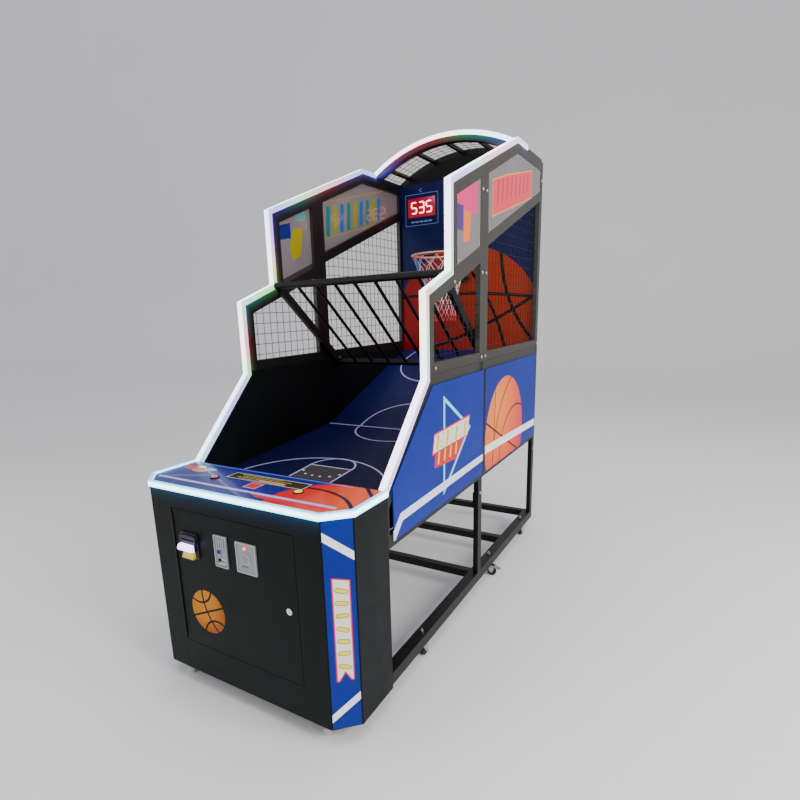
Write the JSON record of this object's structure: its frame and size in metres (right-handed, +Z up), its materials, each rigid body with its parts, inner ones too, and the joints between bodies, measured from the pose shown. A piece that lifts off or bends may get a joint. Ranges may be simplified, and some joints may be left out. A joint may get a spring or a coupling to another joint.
{
  "type": "arcade basketball hoop machine",
  "caption": "Coin-operated basketball game: chamfered coin cabinet, caged ramp with guard, hoop and net on a backboard with number displays, arched roof, base frame on swivel casters.",
  "frame": {"origin": "on the floor, in the middle of the overall length and width", "axes": "+Z up; -Y towards the player, who stands in front of the coin cabinet; +X to the player's right"},
  "size_m": [1.058, 2.31, 2.48],
  "materials": {
    "cabinet": "satin laminate",
    "corner_print": "printed sheet",
    "door": "satin",
    "hinge": "satin",
    "lock": "polished",
    "black_plastic": "matte",
    "coin_plate": "textured",
    "reject": "lit lens",
    "flap": "plated",
    "board_box": "matte",
    "supply": "satin",
    "cash_box": "plated",
    "deck": "printed laminate",
    "clear_sheet": "clear",
    "button_red": "gloss",
    "button_yellow": "gloss",
    "strip_cabinet": "lit diffuser",
    "strip_wall": "lit diffuser",
    "rubber": "matte",
    "frame": "powder coat",
    "side_print": "printed board",
    "liner": "matte",
    "ramp": "printed board",
    "mesh": "coated wire",
    "light_print": "lit printed sheet",
    "backboard": "printed board",
    "display": "red window",
    "rim": "gloss",
    "net": "woven cord",
    "caster_metal": "zinc plated",
    "wheel": "matte"
  },
  "bodies": {
    "machine": {"cabinet_shell": "cabinet", "corner_panels": "corner_print", "hinge_fixed_leaf": "hinge", "coin_box": "cash_box", "game_board": "board_box", "power_supply": "supply", "speaker": "supply", "control_panel": "deck", "instruction_window": "clear_sheet", "button_bezels": "black_plastic", "cabinet_led": "strip_cabinet", "levelling_feet": "rubber", "power_inlet": "black_plastic", "base_frame": "frame", "lower_frames": "frame", "side_panels_left": "side_print", "side_panels_right": "side_print", "inner_liners": "liner", "ramp_front": "ramp", "ramp_rear": "ramp", "upper_frames": "frame", "mesh_panels": "mesh", "light_panels": "light_print", "wall_leds": "strip_wall", "frame_fasteners": "caster_metal", "backboard": "backboard", "arch_frame": "frame", "arch_led": "strip_wall", "roof_mesh": "mesh", "display_housings": "black_plastic", "display_windows": "display", "hoop_rim": "rim", "hoop_net": "net", "hoop_sensor": "black_plastic", "guard_grille": "frame"},
    "door": {"front_door": "door", "hinge_door_leaf": "hinge", "bill_validator": "black_plastic", "bill_bezel": "black_plastic", "coin_plates": "coin_plate", "coin_mechs": "black_plastic"},
    "lock": {"door_lock": "lock"},
    "reject_button": {"reject_button": "reject"},
    "return_flap": {"return_flap": "flap"},
    "button_red": {"button_red": "button_red"},
    "button_yellow": {"button_yellow": "button_yellow"},
    "caster_front_right": {"fork_front_right": "caster_metal"},
    "roller_front_right": {"wheel_front_right": "wheel"},
    "caster_front_left": {"fork_front_left": "caster_metal"},
    "roller_front_left": {"wheel_front_left": "wheel"},
    "caster_middle_right": {"fork_middle_right": "caster_metal"},
    "roller_middle_right": {"wheel_middle_right": "wheel"},
    "brake_middle_right": {"pedal_middle_right": "caster_metal"},
    "caster_middle_left": {"fork_middle_left": "caster_metal"},
    "roller_middle_left": {"wheel_middle_left": "wheel"},
    "brake_middle_left": {"pedal_middle_left": "caster_metal"},
    "caster_rear_right": {"fork_rear_right": "caster_metal"},
    "roller_rear_right": {"wheel_rear_right": "wheel"},
    "caster_rear_left": {"fork_rear_left": "caster_metal"},
    "roller_rear_left": {"wheel_rear_left": "wheel"}
  },
  "joints": [
    {"name": "door_hinge", "type": "hinge", "parent": "machine", "child": "door", "pos_m": [-0.3, -1.1232, 0.49], "axis": [0, 0, -1], "range_deg": [0, 110]},
    {"name": "lock_turn", "type": "hinge", "parent": "door", "child": "lock", "pos_m": [0.265, -1.12, 0.488], "axis": [0, -1, 0], "range_deg": [0, 90]},
    {"name": "reject_press", "type": "slide", "parent": "door", "child": "reject_button", "axis": [0, 1, 0], "range_m": [0, 0.003], "stiffness_N_per_m": 250, "springref_m": -0.001},
    {"name": "flap_swing", "type": "hinge", "parent": "door", "child": "return_flap", "pos_m": [-0.043, -1.115, 0.614], "axis": [1, 0, 0], "range_deg": [0, 60]},
    {"name": "red_press", "type": "slide", "parent": "machine", "child": "button_red", "axis": [0, 0, -1], "range_m": [0, 0.003], "stiffness_N_per_m": 300, "springref_m": -0.002},
    {"name": "yellow_press", "type": "slide", "parent": "machine", "child": "button_yellow", "axis": [0, 0, -1], "range_m": [0, 0.003], "stiffness_N_per_m": 300, "springref_m": -0.002},
    {"name": "swivel_front_right", "type": "hinge", "parent": "machine", "child": "caster_front_right", "pos_m": [0.461, -0.505, 0.06], "axis": [0, 0, 1], "continuous": true},
    {"name": "roll_front_right", "type": "hinge", "parent": "caster_front_right", "child": "roller_front_right", "pos_m": [0.461, -0.485, 0.025], "axis": [-1, 0, 0], "continuous": true},
    {"name": "swivel_front_left", "type": "hinge", "parent": "machine", "child": "caster_front_left", "pos_m": [-0.461, -0.505, 0.06], "axis": [0, 0, 1], "continuous": true},
    {"name": "roll_front_left", "type": "hinge", "parent": "caster_front_left", "child": "roller_front_left", "pos_m": [-0.461, -0.485, 0.025], "axis": [-1, 0, 0], "continuous": true},
    {"name": "swivel_middle_right", "type": "hinge", "parent": "machine", "child": "caster_middle_right", "pos_m": [0.461, 0.355, 0.06], "axis": [0, 0, 1], "continuous": true},
    {"name": "roll_middle_right", "type": "hinge", "parent": "caster_middle_right", "child": "roller_middle_right", "pos_m": [0.481, 0.355, 0.025], "axis": [0, 1, 0], "continuous": true},
    {"name": "brake_middle_right", "type": "hinge", "parent": "caster_middle_right", "child": "brake_middle_right", "pos_m": [0.495, 0.355, 0.054], "axis": [0, -1, 0], "range_deg": [0, 14]},
    {"name": "swivel_middle_left", "type": "hinge", "parent": "machine", "child": "caster_middle_left", "pos_m": [-0.461, 0.355, 0.06], "axis": [0, 0, 1], "continuous": true},
    {"name": "roll_middle_left", "type": "hinge", "parent": "caster_middle_left", "child": "roller_middle_left", "pos_m": [-0.481, 0.355, 0.025], "axis": [0, -1, 0], "continuous": true},
    {"name": "brake_middle_left", "type": "hinge", "parent": "caster_middle_left", "child": "brake_middle_left", "pos_m": [-0.495, 0.355, 0.054], "axis": [0, 1, 0], "range_deg": [0, 14]},
    {"name": "swivel_rear_right", "type": "hinge", "parent": "machine", "child": "caster_rear_right", "pos_m": [0.461, 0.965, 0.06], "axis": [0, 0, 1], "continuous": true},
    {"name": "roll_rear_right", "type": "hinge", "parent": "caster_rear_right", "child": "roller_rear_right", "pos_m": [0.461, 0.985, 0.025], "axis": [-1, 0, 0], "continuous": true},
    {"name": "swivel_rear_left", "type": "hinge", "parent": "machine", "child": "caster_rear_left", "pos_m": [-0.461, 0.965, 0.06], "axis": [0, 0, 1], "continuous": true},
    {"name": "roll_rear_left", "type": "hinge", "parent": "caster_rear_left", "child": "roller_rear_left", "pos_m": [-0.461, 0.985, 0.025], "axis": [-1, 0, 0], "continuous": true}
  ]
}
